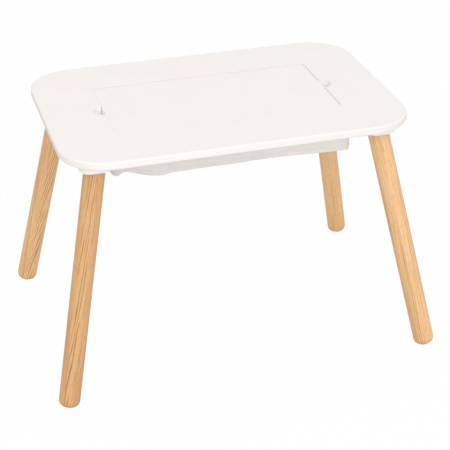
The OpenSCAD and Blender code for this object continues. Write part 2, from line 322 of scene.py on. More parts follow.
def makeWeave():
    tree, given, result = startGroup(
        "plainWeave",
        [("Vector", "NodeSocketVector", None),  # metres over the cloth
         ("Thread Pitch", "NodeSocketFloat", 0.0009),
         ("Unevenness", "NodeSocketFloat", 0.35)],
        [("Height", "NodeSocketFloat"), ("Tone", "NodeSocketFloat")])
    wobble = addNode(tree, "ShaderNodeTexNoise", {"Vector": given["Vector"], "Detail": 1.0,
                                                  "Scale": weavePattern["wobbles"]})
    lean = addVector(tree, "SUBTRACT", wobble.outputs["Color"], (0.5, 0.5, 0.5))
    reach = addMath(tree, "MULTIPLY", given["Unevenness"], given["Thread Pitch"])
    lean = addNode(tree, "ShaderNodeVectorMath", {0: lean, "Scale": reach}, operation="SCALE")
    parts = addNode(tree, "ShaderNodeSeparateXYZ", {0: addVector(tree, "ADD", given["Vector"], lean)}).outputs
    across, along = (addMath(tree, "DIVIDE", parts[axis], given["Thread Pitch"]) for axis in (0, 1))

    def ridge(value):
        return addMath(tree, "ABSOLUTE", addMath(tree, "SINE", addMath(tree, "MULTIPLY", value, math.pi)))

    def numbered(value):
        return addMath(tree, "FLOOR", value)

    def crossing(yarn, other):
        under = weavePattern["under"]
        dip = addMath(tree, "ADD", under, addMath(tree, "MULTIPLY", other, 1 - under))
        return addMath(tree, "MULTIPLY", yarn, dip)

    odd = addMath(tree, "FLOORED_MODULO", addMath(tree, "ADD", numbered(across), numbered(along)), 2.0)
    warp, weft = ridge(across), ridge(along)
    upper, lower = crossing(warp, weft), crossing(weft, warp)
    height = addNode(tree, "ShaderNodeMix", {0: odd, 2: upper, 3: lower}).outputs[0]
    threadTone = []
    for value in (across, along):  # each thread is a little lighter or darker
        shade = addNode(tree, "ShaderNodeTexWhiteNoise", {"W": numbered(value)}, noise_dimensions="1D")
        threadTone.append(shade.outputs["Value"])
    shade = addNode(tree, "ShaderNodeMix", {0: odd, 2: threadTone[0], 3: threadTone[1]}).outputs[0]
    slub = addNoise(tree, addVector(tree, "MULTIPLY", given["Vector"], weavePattern["slubs"]), 1.0)
    slubShare = weavePattern["slubShare"]
    shade = addMath(tree, "ADD", addMath(tree, "MULTIPLY", shade, 1 - slubShare),
                    addMath(tree, "MULTIPLY", slub, slubShare))
    connect(tree, result, {"Height": height, "Tone": shade})
    return tree


def makeUneven():
    tree, given, result = startGroup(
        "unevenSurface",
        [("Vector", "NodeSocketVector", None),  # metres
         ("Ripple Size", "NodeSocketFloat", 0.002),
         ("Patch Size", "NodeSocketFloat", 0.06)],
        [("Ripple", "NodeSocketFloat"), ("Patches", "NodeSocketFloat")])

    def spotted(size, detail):
        return addNoise(tree, given["Vector"], detail, addMath(tree, "DIVIDE", 1.0, given[size]))

    connect(tree, result, {"Ripple": spotted("Ripple Size", 1.0), "Patches": spotted("Patch Size", 3.0)})
    return tree


woodGrain = makeWoodGrain()
grainFigure = makeFigure()
plainWeave = makeWeave()
unevenSurface = makeUneven()
noiseSpan = (0.3, 0.7)  # levels that a noise texture mostly keeps between
middleSpan = (0.35, 0.65)  # a shorter span, for more contrast
print("patterns built")


def startMaterial(name, **constants):
    material = bpy.data.materials.new(name)
    material.use_nodes = True
    tree = material.node_tree
    shader = tree.nodes["Principled BSDF"]
    for label, value in constants.items():
        shader.inputs[label].default_value = value
    return material, tree, shader


def useGroup(tree, group, inputs):
    return addNode(tree, "ShaderNodeGroup", inputs, node_tree=group).outputs


def addBump(tree, height, distance, strength, **inputs):
    inputs.update({"Height": height, "Distance": distance, "Strength": strength})
    return addNode(tree, "ShaderNodeBump", inputs).outputs[0]


paints = {
    "whiteLacquer": {
        "colour": (0.908, 0.868, 0.834, 1),
        "shade": (0.893, 0.851, 0.814, 1),
        "roughness": (0.34, 0.42),
        "ripple": (0.0016, 0.00001),  # length and height, metres
        "sheen": 0.5,
        "paintedLightInside": (0.98, 0.965, 0.952, 1),  # painted light: whiter on the cut faces inside the opening, lifting the shade in these recesses
    },
    "whitePaint": {
        "colour": (0.95, 0.935, 0.92, 1),
        "shade": (0.925, 0.908, 0.888, 1),
        "roughness": (0.55, 0.68),
        "ripple": (0.0009, 0.00004),
        "sheen": 0.4,
    },
}


# where the painted light inside the opening is laid
opening = {
    "reach": (0.018, 0.001),  # how far the finger notches and the opening's sides lie past the lid, metres
    "below": 0.0006,  # the cut faces begin this far below the lid's face
}


def insideOpening(tree, place):
    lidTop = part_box("lid")[1]
    parts = addNode(tree, "ShaderNodeSeparateXYZ", {0: place}).outputs
    share = addMath(tree, "LESS_THAN", parts[2], lidTop[2] - opening["below"])
    for axis, reach in enumerate(opening["reach"]):
        near = addMath(tree, "LESS_THAN", addMath(tree, "ABSOLUTE", parts[axis]), lidTop[axis] + reach)
        share = addMath(tree, "MULTIPLY", share, near)
    return share


def makePaint(name):
    look = paints[name]
    material, tree, shader = startMaterial(name, **{"Specular IOR Level": look["sheen"]})
    place = addNode(tree, "ShaderNodeTexCoord").outputs["Object"]
    uneven = useGroup(tree, unevenSurface, {"Vector": place, "Ripple Size": look["ripple"][0]})
    tone = mapRange(tree, uneven["Patches"], 0.0, 1.0, *noiseSpan)
    colour = addMix(tree, tone, look["colour"], look["shade"])
    # painted light: the cut faces inside the opening are drawn whiter than the lacquer
    if "paintedLightInside" in look:
        colour = addMix(tree, insideOpening(tree, place), colour, look["paintedLightInside"])
    connect(tree, shader.inputs, {"Base Color": colour,
                                  "Roughness": mapRange(tree, uneven["Patches"], *look["roughness"]),
                                  "Normal": addBump(tree, uneven["Ripple"], look["ripple"][1], 1.0)})
    return material


wood = {
    "light": (0.78, 0.5, 0.255),
    "dark": (0.48, 0.25, 0.095),
    "pore": (0.36, 0.17, 0.06),
    "roughness": (0.42, 0.58),
    "lineLevel": 0.32,  # a line of the figure darkens the wood over this level and lightens it below
    "rings": 0.62,  # how far each pattern takes the wood from light to dark
    "fibres": (-0.1, 0.22),
    "streaks": 0.5,
    "tones": (-0.08, 0.24),
    "pores": 0.45,
    "fibreRise": 0.4,  # against the depth of the pores
    "poreDepth": 0.00006,  # metres
    "relief": 0.7,
}

# how each leg was cut: metres to the tree's middle, degrees of lean against it, ring width and waver, metres
# tone scales each leg's colours: partly the wood's own colour, partly painted light on the legs other than
# the front left
legCuts = {
    "front_left": {"middle": (0.0376, -0.0468), "lean": (0.6, 1.2), "ring": 0.0022, "waver": 0.002,
                   "depth": 0.4, "streak": 0.6, "tone": (0.95, 0.89, 0.82)},
    "front_right": {"middle": (-0.026, 0.086), "lean": (0.2, 0.3), "ring": 0.003, "waver": 0.002,
                    "depth": 0.45, "streak": 0.6, "tone": (1.17, 1.17, 1.19)},
    "back_left": {"middle": (0.021, 0.056), "lean": (-0.6, 0.5), "ring": 0.0024, "waver": 0.002,
                  "depth": 0.5, "streak": 0.7, "tone": (1.18, 1.17, 1.18)},
    "back_right": {"middle": (0.089, 0.044), "lean": (0.2, -0.4), "ring": 0.003, "waver": 0.002,
                   "depth": 0.35, "streak": 0.3, "tone": (1.2, 1.2, 1.19)},
}

# the band of lines along each leg: the way it is measured, metres off the axis and wide, slope of the lines
legFigures = {
    "front_left": {"across": (-0.864, -0.504, 0), "offset": -0.001, "width": 0.01, "slant": 0.07,
                   "spacing": 0.0044, "strength": 1.7},
    "front_right": {"across": (-0.449, 0.893, 0), "offset": 0.001, "width": 0.02, "slant": 0.02,
                    "spacing": 0.0028, "strength": 0.6},
    "back_left": {"across": (0.449, -0.893, 0), "offset": 0.0075, "width": 0.009, "slant": 0.12,
                  "spacing": 0.0042, "strength": 2.1},
    "back_right": {"across": (0.864, 0.504, 0), "offset": 0.003, "width": 0.02, "slant": 0.02,
                   "spacing": 0.0034, "strength": 0.3},
}


def legEnds(corner):
    foot = next(m["pos_m"] for m in frame["record"]["mounts"] if m["name"] == "foot_" + corner)
    low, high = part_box("leg_block_" + corner)
    head = ((low.x + high.x) / 2, (low.y + high.y) / 2, low.z)
    return Vector(foot), Vector([round(value, 4) for value in head])


def makeLegWood(corner):
    cut = legCuts[corner]
    foot, head = legEnds(corner)
    turn = (head - foot).to_track_quat("Z", "Y").to_matrix()
    lean = Matrix.Rotation(math.radians(cut["lean"][0]), 3, "X") @ Matrix.Rotation(
        math.radians(cut["lean"][1]), 3, "Y")
    start = foot + turn @ Vector((*cut["middle"], 0))
    material, tree, shader = startMaterial("wood_" + corner, **{"Specular IOR Level": 0.3})
    place = addNode(tree, "ShaderNodeTexCoord").outputs["Object"]
    inTree = addNode(tree, "ShaderNodeMapping", {"Vector": place, "Location": start,
                                                 "Rotation": (turn @ lean).to_euler()}, vector_type="TEXTURE")
    grain = useGroup(tree, woodGrain, {"Vector": inTree, "Ring Width": cut["ring"],
                                       "Waver": cut["waver"]})
    figure = legFigures[corner]
    inLeg = addNode(tree, "ShaderNodeMapping", {"Vector": place, "Location": foot,
                                                "Rotation": turn.to_euler()}, vector_type="TEXTURE")
    marks = useGroup(tree, grainFigure, {"Vector": inLeg, "Across": figure["across"],
                                         "Offset": figure["offset"], "Width": figure["width"],
                                         "Slant": figure["slant"], "Spacing": figure["spacing"]})
    marked = addMath(tree, "SUBTRACT", marks["Lines"], wood["lineLevel"])
    marked = addMath(tree, "MULTIPLY", addMath(tree, "MULTIPLY", marked, marks["Band"]), figure["strength"])
    rings = addMath(tree, "MULTIPLY", grain["Rings"], wood["rings"] * cut["depth"])
    streak = wood["streaks"] * cut["streak"]
    darkness = addMath(tree, "ADD", marked, rings)
    darkness = addMath(tree, "ADD", darkness, mapRange(tree, grain["Fibres"], *wood["fibres"], *middleSpan))
    darkness = addMath(tree, "ADD", darkness, mapRange(tree, grain["Streaks"], -streak, streak, *noiseSpan))
    darkness = addMath(tree, "ADD", darkness, mapRange(tree, grain["Tone"], *wood["tones"], *noiseSpan),
                       clamp=True)
    # the leg's colours scaled by its tone, which is partly painted light
    light, dark, pore = ((*(share * tone for share, tone in zip(wood[shade], cut["tone"])), 1)
                         for shade in ("light", "dark", "pore"))
    colour = addMix(tree, darkness, light, dark)
    colour = addMix(tree, addMath(tree, "MULTIPLY", grain["Pores"], wood["pores"]), colour, pore)
    height = addMath(tree, "SUBTRACT", addMath(tree, "MULTIPLY", grain["Fibres"], wood["fibreRise"]),
                     grain["Pores"])
    connect(tree, shader.inputs, {"Base Color": colour,
                                  "Roughness": mapRange(tree, grain["Fibres"], *wood["roughness"]),
                                  "Normal": addBump(tree, height, wood["poreDepth"], wood["relief"])})
    return material


cloths = {
    "canvas": {
        "light": (0.89, 0.86, 0.833, 1),
        "dark": (0.75, 0.705, 0.67, 1),
        "paintedRightLight": 0.4,  # painted light: how far the cloth is drawn to white at its right-hand end, for light from the right
        "pitch": 0.0006,  # of the threads, metres
        "relief": 0.00012,
        "creases": 0.0014,  # depth, metres
        "threads": 0.25,  # how much the threads differ in tone
    },
    "wovenTape": {
        "light": (0.78, 0.72, 0.64, 1),
        "dark": (0.56, 0.5, 0.43, 1),
        "paintedRightLight": 0,
        "pitch": 0.0011,
        "relief": 0.0003,
        "creases": 0.0002,
        "threads": 0.5,
    },
}


clothPattern = {
    "creases": (9, 120, 1),  # per metre along and across the cloth
    "creaseStrength": 0.6,
    "threadStrength": 0.8,
    "gapShade": 0.35,  # painted shade: how much darker the gaps between the threads are drawn
    "patches": 0.15,  # how much lighter or darker than the rest a patch is
    "patchSize": 0.03,  # metres
    "span": (-0.02, 0.22),  # where the painted light begins and is full, metres along the table
}


def makeCloth(name):
    look = cloths[name]
    material, tree, shader = startMaterial(name, **{"Roughness": 0.92, "Specular IOR Level": 0.25,
                                                    "Sheen Weight": 0.25, "Sheen Roughness": 0.5})
    cloth = addNode(tree, "ShaderNodeUVMap", uv_map="UVMap").outputs[0]
    weave = useGroup(tree, plainWeave, {"Vector": cloth, "Thread Pitch": look["pitch"]})
    crease = addNoise(tree, addVector(tree, "MULTIPLY", cloth, clothPattern["creases"]), 2.0)
    uneven = useGroup(tree, unevenSurface, {"Vector": cloth, "Patch Size": clothPattern["patchSize"]})
    gapShade = addMath(tree, "MULTIPLY", addMath(tree, "SUBTRACT", 1.0, weave["Height"]), clothPattern["gapShade"])
    tone = addMath(tree, "ADD", addMath(tree, "MULTIPLY", weave["Tone"], look["threads"]), gapShade)
    patch = clothPattern["patches"]
    patch = mapRange(tree, uneven["Patches"], -patch, patch, *noiseSpan)
    tone = addMath(tree, "ADD", tone, patch, clamp=True)
    place = addNode(tree, "ShaderNodeTexCoord").outputs["Object"]
    along = addNode(tree, "ShaderNodeSeparateXYZ", {0: place}).outputs[0]
    # painted light: the cloth pales towards its right-hand end as if lit from the right
    paintedLightShare = mapRange(tree, along, 0.0, look["paintedRightLight"], *clothPattern["span"])
    colour = addMix(tree, paintedLightShare, addMix(tree, tone, look["light"], look["dark"]), (1, 1, 1, 1))
    folds = addBump(tree, crease, look["creases"], clothPattern["creaseStrength"])
    bump = addBump(tree, weave["Height"], look["relief"], clothPattern["threadStrength"], Normal=folds)
    connect(tree, shader.inputs, {"Base Color": colour, "Normal": bump})
    return material


thread = {
    "light": (0.86, 0.82, 0.76, 1),
    "dark": (0.7, 0.65, 0.58, 1),
    "ply": 0.0004,  # metres, as are the next two
    "patch": 0.004,
    "relief": 0.00006,
}


def makeThread():
    material, tree, shader = startMaterial("sewingThread", **{"Roughness": 0.85, "Specular IOR Level": 0.3})
    place = addNode(tree, "ShaderNodeTexCoord").outputs["Object"]
    uneven = useGroup(tree, unevenSurface, {"Vector": place, "Ripple Size": thread["ply"],
                                            "Patch Size": thread["patch"]})
    tone = mapRange(tree, uneven["Ripple"], 0, 1, *middleSpan)
    colour = addMix(tree, tone, thread["light"], thread["dark"])
    connect(tree, shader.inputs, {"Base Color": colour,
                                  "Normal": addBump(tree, uneven["Ripple"], thread["relief"], 0.6)})
    return material


zinc = {
    "colour": (0.62, 0.63, 0.65, 1),
    "shade": (0.5, 0.51, 0.52, 1),
    "roughness": (0.26, 0.42),
    "ripple": 0.0004,  # metres, as are the next two
    "patch": 0.002,
    "relief": 0.00002,
}


def makeZinc():
    material, tree, shader = startMaterial("zincPlate", **{"Metallic": 1.0})
    place = addNode(tree, "ShaderNodeTexCoord").outputs["Object"]
    uneven = useGroup(tree, unevenSurface, {"Vector": place, "Ripple Size": zinc["ripple"],
                                            "Patch Size": zinc["patch"]})
    colour = addMix(tree, mapRange(tree, uneven["Patches"], 0, 1, *middleSpan), zinc["colour"], zinc["shade"])
    connect(tree, shader.inputs, {"Base Color": colour,
                                  "Roughness": mapRange(tree, uneven["Ripple"], *zinc["roughness"]),
                                  "Normal": addBump(tree, uneven["Ripple"], zinc["relief"], 0.5)})
    return material


def finish(node, material):
    mesh = cadNodes[node].data
    mesh.materials.clear()
    mesh.materials.append(material)


lacquer, paint, zincPlate = makePaint("whiteLacquer"), makePaint("whitePaint"), makeZinc()
canvas, wovenTape, sewingThread = makeCloth("canvas"), makeCloth("wovenTape"), makeThread()
for node in ("table_top", "lid"):
    finish(node, lacquer)
for side in ("front", "back", "left", "right"):
    finish("frame_rail_" + side, paint)
for corner in corners:
    finish("leg_block_" + corner, paint)
    finish("leg_" + corner, makeLegWood(corner))
    for part in ("block_screws_", "insert_nut_", "hanger_bolt_"):
        finish(part + corner, zincPlate)
for node in ("frame_screws", "bag_staples"):
    finish(node, zincPlate)
print("wood, paint and metal finished")

bag = {
    "inset": 0.0009,  # from the CAD bag's outer face to the middle of the cloth, metres
    "rimDrop": 0.0002,  # from the CAD bag's rim to the cloth's
    "corner": 0.0069,
    "depth": 0.062,  # of the wall as the cloth is cut
    "pinned": 4,  # rows of the cloth that are stapled to the frame
    "grip": 0.0005,  # cloth less than this below the frame is held too
    "rows": (0.0, 0.0025, 0.005, 0.008, 0.0115, 0.0155, 0.0205, 0.027),  # heights over the lower edge
    "cell": 0.0052,
    "cloth": 0.0013,  # thickness
    "edgeHold": 0.9,  # how firmly the seam keeps the lower edge in shape
    "slack": 0.001,  # share by which the cloth is cut larger than its box
    "frames": 30,
    "quality": 10,
    "mass": 0.15,
    "stretch": 60,  # stiffness against stretching, and against the next two
    "shear": 25,
    "bend": 4,
    "airDamping": 2.0,
    "sag": 0.003,  # how far the floor of the bag hangs below its edges
    "sagEnds": 0.2,  # share of the length in which the sag fades out at each end
    "edgePull": 0.02,  # the smaller, the closer the floor follows its nearest edge
    "floorPattern": (0.5, 0.75),  # where the floor lies on the cloth's pattern
    "folds": 0.002,  # height of the folds
    "softFolds": (9, 120),  # per metre round and up the bag
    "sharpFolds": (6, 80),
    "sharpness": 1.4,
    "calm": 0.004,  # the folds grow over this height from the lower edge
    "seed": 7,
}
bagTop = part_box("storage_bag")[1]
bag["length"], bag["width"] = (round(2 * (side - bag["inset"]), 4) for side in bagTop[:2])
bag["rim"] = round(bagTop.z - bag["rimDrop"], 4)
bag["frameFoot"] = round(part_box("frame_rail_front")[0].z, 4)

# the bag's lower edge: metres round the bag from the front left corner, height over the floor, how far inward
bagEdge = [(0.0, 0.3592, 0.0035), (0.006, 0.359, 0.002), (0.0155, 0.3648, 0.0), (0.024, 0.3656, 0.0),
           (0.039, 0.3607, 0.0), (0.058, 0.3545, 0.0), (0.081, 0.3509, 0.0), (0.102, 0.3533, 0.0),
           (0.2, 0.3538, 0.0), (0.28, 0.3547, 0.0), (0.36, 0.3519, 0.0), (0.416, 0.351, 0.0),
           (0.47, 0.353, 0.001), (0.53, 0.3555, 0.002), (0.6, 0.352, 0.001), (0.633, 0.3525, 0.0),
           (0.7, 0.3555, 0.0), (0.8, 0.3525, 0.001), (0.9, 0.3545, 0.0), (0.98, 0.352, 0.001),
           (1.049, 0.3535, 0.0), (1.12, 0.3515, 0.002), (1.2, 0.355, 0.002), (1.2653, 0.3592, 0.0035)]


def edgeAt(way):
    last = len(bagEdge) - 1
    k = next((n for n in range(last) if way <= bagEdge[n + 1][0]), last - 1)
    knots = [Vector(bagEdge[min(max(n, 0), last)]) for n in range(k - 1, k + 3)]
    t = min(1.0, (way - knots[1][0]) / (knots[2][0] - knots[1][0]))
    slopes = [(b - a) / max(1e-6, b[0] - a[0]) * (knots[2][0] - knots[1][0])
              for a, b in ((knots[0], knots[2]), (knots[1], knots[3]))]
    curve = (knots[1] * (2 * t ** 3 - 3 * t ** 2 + 1) + slopes[0] * (t ** 3 - 2 * t ** 2 + t)
             + knots[2] * (3 * t ** 2 - 2 * t ** 3) + slopes[1] * (t ** 3 - t ** 2))
    return curve[1], curve[2]


def onRoundedCorner(x, y):
    corner = bag["corner"]
    middleX, middleY = bag["length"] / 2 - corner, bag["width"] / 2 - corner
    overX, overY = abs(x) - middleX, abs(y) - middleY
    if overX <= 0 or overY <= 0:
        return x, y
    share = max(overX, overY) / math.hypot(overX, overY)
    return math.copysign(middleX + overX * share, x), math.copysign(middleY + overY * share, y)


def bagGrid():
    columns, rows = round(bag["length"] / bag["cell"]), round(bag["width"] / bag["cell"])
    points = {(i, j): onRoundedCorner((i / columns - 0.5) * bag["length"], (j / rows - 0.5) * bag["width"])
              for i in range(columns + 1) for j in range(rows + 1)}
    loop = [(i, 0) for i in range(columns)] + [(columns, j) for j in range(rows)]
    loop += [(i, rows) for i in range(columns, 0, -1)] + [(0, j) for j in range(rows, 0, -1)]
    return points, loop, columns, rows


def buildBag():
    points, loop, columns, rows = bagGrid()
    shell = bmesh.new()
    cloth = shell.loops.layers.uv.new("UVMap")
    ways = [0.0]
    for here, there in zip(loop, loop[1:] + loop[:1]):
        ways.append(ways[-1] + (Vector(points[here]) - Vector(points[there])).length)
    last = bag["pinned"] - 1
    pinned = [bag["rim"] - (bag["rim"] - bag["frameFoot"]) * k / last for k in range(last + 1)]
    wall = []
    for key, way in zip(loop, ways):
        x, y = points[key]
        bottom, inward = edgeAt(way)
        heights = pinned + [0.5 * (bag["frameFoot"] + bottom + bag["rows"][-1])]
        heights += [bottom + rise for rise in reversed(bag["rows"])]
        column = []
        for z in heights:
            below = max(0.0, bag["frameFoot"] - z) / (bag["frameFoot"] - bottom)
            lean = 1 - inward / (bag["width"] / 2) * below
            drawn = math.copysign(1, x) * (1 - lean) * bag["width"] / 2
            column.append(shell.verts.new((x - drawn, y * lean, z)))
        wall.append(column)
    floor = {key: wall[number][-1] for number, key in enumerate(loop)}
    for (i, j), (x, y) in points.items():
        if (i, j) not in floor:
            across, along = j / rows, i / columns
            edges = (floor[(i, 0)], floor[(i, rows)], floor[(0, j)], floor[(columns, j)])
            weights = [1 / (share + bag["edgePull"])
                       for share in (across, 1 - across, along * 2, (1 - along) * 2)]
            z = sum(w * v.co.z for w, v in zip(weights, edges)) / sum(weights)
            z -= bag["sag"] * math.sin(math.pi * across) * min(1, min(along, 1 - along) / bag["sagEnds"])
            floor[(i, j)] = shell.verts.new((x, y, z))
    shell.verts.index_update()
    for number, column in enumerate(wall):
        after = wall[(number + 1) % len(wall)]
        for level in range(len(column) - 1):
            face = shell.faces.new((column[level], column[level + 1], after[level + 1], after[level]))
            for spot, way in zip(face.loops, (ways[number],) * 2 + (ways[number + 1],) * 2):
                bottom = edgeAt(way)[0]  # the threads follow the lower edge
                share = (spot.vert.co.z - bottom) / (bag["rim"] - bottom)
                spot[cloth].uv = (way, share * bag["depth"])
    for i in range(columns):
        for j in range(rows):
            spots = ((i, j), (i, j + 1), (i + 1, j + 1), (i + 1, j))
            face = shell.faces.new([floor[spot] for spot in spots])
            for spot in face.loops:
                spot[cloth].uv = spot.vert.co.xy + Vector(bag["floorPattern"])
    seams = {"columns": [[v.index for v in column] for column in wall], "ways": ways,
             "corners": (0, columns, columns + rows, 2 * columns + rows)}
    mesh = bpy.data.meshes.new("bag")
    shell.to_mesh(mesh)
    shell.free()
    piece = bpy.data.objects.new("bag", mesh)
    scene.collection.objects.link(piece)
    return piece, seams


def hangBag(piece, seams):
    held = piece.vertex_groups.new(name="held")
    top = bag["frameFoot"] - bag["grip"]
    held.add([v.index for v in piece.data.vertices if v.co.z > top], 1.0, "REPLACE")
    held.add([column[-1] for column in seams["columns"]], bag["edgeHold"], "REPLACE")
    hang = piece.modifiers.new("hang", "CLOTH")
    cloth = hang.settings
    cloth.quality = bag["quality"]
    cloth.mass = bag["mass"]
    cloth.tension_stiffness = cloth.compression_stiffness = bag["stretch"]
    cloth.shear_stiffness = bag["shear"]
    cloth.bending_stiffness = bag["bend"]
    cloth.air_damping = bag["airDamping"]
    cloth.vertex_group_mass = held.name
    cloth.shrink_min = cloth.shrink_max = -bag["slack"]
    hang.collision_settings.use_collision = False
    hang.collision_settings.use_self_collision = False
    hang.point_cache.frame_start = 1
    hang.point_cache.frame_end = bag["frames"]
    for step in range(1, bag["frames"] + 1):
        scene.frame_set(step)
    hung = piece.evaluated_get(bpy.context.evaluated_depsgraph_get())
    places = [v.co.copy() for v in hung.data.vertices]
    piece.modifiers.clear()
    for vertex, place in zip(piece.data.vertices, places):
        vertex.co = place
    scene.frame_set(1)


def foldBag(piece, seams):
    piece.data.update()
    normals = [v.normal.copy() for v in piece.data.vertices]
    (softRound, softUp), (sharpRound, sharpUp) = bag["softFolds"], bag["sharpFolds"]
    for column, way in zip(seams["columns"], seams["ways"]):
        bottom = piece.data.vertices[column[-1]].co.z
        for number in column[bag["pinned"]:-1]:
            vertex = piece.data.vertices[number]
            over = vertex.co.z - bottom  # folds run along the lower edge
            fold = noise.noise(Vector((way * softRound, over * softUp, bag["seed"])))
            crease = noise.noise(Vector((way * sharpRound + 5, over * sharpUp + 3, bag["seed"])))
            fold += bag["sharpness"] * (0.5 - abs(crease))
            vertex.co += normals[number] * fold * bag["folds"] * min(1, over / bag["calm"])


bagPiece, bagSeams = buildBag()
hangBag(bagPiece, bagSeams)
print("bag floor hangs at", round(min(v.co.z for v in bagPiece.data.vertices), 4))
foldBag(bagPiece, bagSeams)
bagPiece.data.materials.append(canvas)
bagPiece.data.shade_smooth()
smooth = bagPiece.modifiers.new("smooth", "SUBSURF")
smooth.levels = smooth.render_levels = 1
wall = bagPiece.modifiers.new("cloth", "SOLIDIFY")
wall.thickness = bag["cloth"]
wall.offset = 0
print("bag hung")


def startTree(name, inputs):
    tree = bpy.data.node_groups.new(name, "GeometryNodeTree")
    tree.interface.new_socket("Geometry", in_out="INPUT", socket_type="NodeSocketGeometry")
    for label, kind, value in inputs:
        socket = tree.interface.new_socket(label, in_out="INPUT", socket_type=kind)
        if value is not None:
            socket.default_value = value
    tree.interface.new_socket("Geometry", in_out="OUTPUT", socket_type="NodeSocketGeometry")
    return tree, addNode(tree, "NodeGroupInput").outputs, addNode(tree, "NodeGroupOutput").inputs


def useTree(name, tree, lines, values, material):
    mesh = bpy.data.meshes.new(name)
    points = [point for line in lines for point, outward in line]
    edges, start = [], 0
    for line in lines:
        edges += [(start + k, start + k + 1) for k in range(len(line) - 1)]
        start += len(line)
    mesh.from_pydata(points, edges, [])
    outwards = mesh.attributes.new("outward", "FLOAT_VECTOR", "POINT")
    outwards.data.foreach_set("vector", [c for line in lines for point, outward in line for c in outward])
    piece = bpy.data.objects.new(name, mesh)
    scene.collection.objects.link(piece)
    maker = piece.modifiers.new("maker", "NODES")
    maker.node_group = tree
    sockets = {item.name: item.identifier for item in tree.interface.items_tree
               if item.item_type == "SOCKET" and item.in_out == "INPUT"}
    for label, value in values.items():
        maker[sockets[label]] = value
    maker[sockets["Material"]] = material
    shape = bpy.data.meshes.new_from_object(piece.evaluated_get(bpy.context.evaluated_depsgraph_get()))
    piece.modifiers.clear()
    piece.data = shape
    shape.name = name
    bpy.data.meshes.remove(mesh)
    shape.shade_smooth()
    return piece


def endTree(tree, shape, given, result):
    whole = addNode(tree, "GeometryNodeRealizeInstances", {"Geometry": shape})
    dressed = addNode(tree, "GeometryNodeSetMaterial", {"Geometry": whole, "Material": given["Material"]})
    tree.links.new(dressed.outputs[0], result["Geometry"])


def makeBandTree():
    tree, given, result = startTree("sewnBand", [
        ("Width", "NodeSocketFloat", 0.014), ("Thickness", "NodeSocketFloat", 0.001),
        ("Rounding", "NodeSocketFloat", 0.0004), ("Spacing", "NodeSocketFloat", 0.004),
        ("Material", "NodeSocketMaterial", None)])
    path = addNode(tree, "GeometryNodeMeshToCurve", {"Mesh": given["Geometry"]})
    path = addNode(tree, "GeometryNodeResampleCurve", {"Curve": path, "Length": given["Spacing"]},
                   mode="LENGTH")
    path = addNode(tree, "GeometryNodeSetCurveNormal", {"Curve": path}, mode="Z_UP")
    along = addNode(tree, "GeometryNodeSplineParameter").outputs["Length"]
    path = addNode(tree, "GeometryNodeStoreNamedAttribute",
                   {"Geometry": path, "Name": "along", "Value": along}, data_type="FLOAT")
    section = addNode(tree, "GeometryNodeCurvePrimitiveQuadrilateral",
                      {"Width": given["Thickness"], "Height": given["Width"]})
    section = addNode(tree, "GeometryNodeFilletCurve", {"Curve": section, "Count": 3,
                                                        "Radius": given["Rounding"]}, mode="POLY")
    section = addNode(tree, "GeometryNodeResampleCurve", {"Curve": section}, mode="EVALUATED")
    section = addNode(tree, "GeometryNodeStoreNamedAttribute",
                      {"Geometry": section, "Name": "across", "Value": along}, data_type="FLOAT")
    band = addNode(tree, "GeometryNodeCurveToMesh", {"Curve": path, "Profile Curve": section,
                                                     "Fill Caps": True})
    ways = [addNode(tree, "GeometryNodeInputNamedAttribute", {"Name": name}, data_type="FLOAT")
            for name in ("along", "across")]
    cloth = addNode(tree, "ShaderNodeCombineXYZ", {0: ways[0], 1: ways[1]})
    band = addNode(tree, "GeometryNodeStoreNamedAttribute",
                   {"Geometry": band, "Name": "UVMap", "Value": cloth}, data_type="FLOAT2", domain="CORNER")
    for name in ("along", "across", "outward"):
        band = addNode(tree, "GeometryNodeRemoveAttribute", {"Geometry": band, "Name": name})
    endTree(tree, band, given, result)
    return tree


sewnBand = makeBandTree()

tape = {
    "inset": 0.0006,  # from the CAD tape's outer face to the middle of the cloth, metres
    "corner": 0.0083,
    "cornerSteps": 6,
    "step": 0.003,
    "band": {"Width": 0.014, "Thickness": 0.00095, "Rounding": 0.0004, "Spacing": 0.003},
    "lapAt": 0.04,  # where its ends lap over each other at the back
    "lap": 0.006,
    "waver": 0.00012,
    "wavesOut": 60,  # waves round the bag, outwards and up
    "wavesUp": 25,
}
tapeLow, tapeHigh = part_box("rim_tape")
tape["length"], tape["width"] = (round(2 * (side - tape["inset"]), 4) for side in tapeHigh[:2])
tape["middle"] = round((tapeLow.z + tapeHigh.z) / 2, 4)


def loopPoints(length, width, corner, start):
    # points round a rounded rectangle with their outward ways, counterclockwise from x = start at the back
    line = [(start, width / 2, 0.0, 1.0)]
    for quarter, (sx, sy) in enumerate(((-1, 1), (-1, -1), (1, -1), (1, 1))):
        middle = Vector((sx * (length / 2 - corner), sy * (width / 2 - corner)))
        for step in range(tape["cornerSteps"] + 1):
            angle = math.radians(90 + 90 * quarter + 90 * step / tape["cornerSteps"])
            way = Vector((math.cos(angle), math.sin(angle)))
            line.append((*(middle + way * corner), *way))
    line.append((start, width / 2, 0.0, 1.0))
    dense = []
    for first, second in zip(line, line[1:]):
        steps = max(1, round(math.hypot(second[0] - first[0], second[1] - first[1]) / tape["step"]))
        for k in range(steps):
            dense.append([a + (b - a) * k / steps for a, b in zip(first, second)])
    dense.append(line[-1])
    return [(Vector((x, y, 0)), Vector((nx, ny, 0)).normalized()) for x, y, nx, ny in dense]


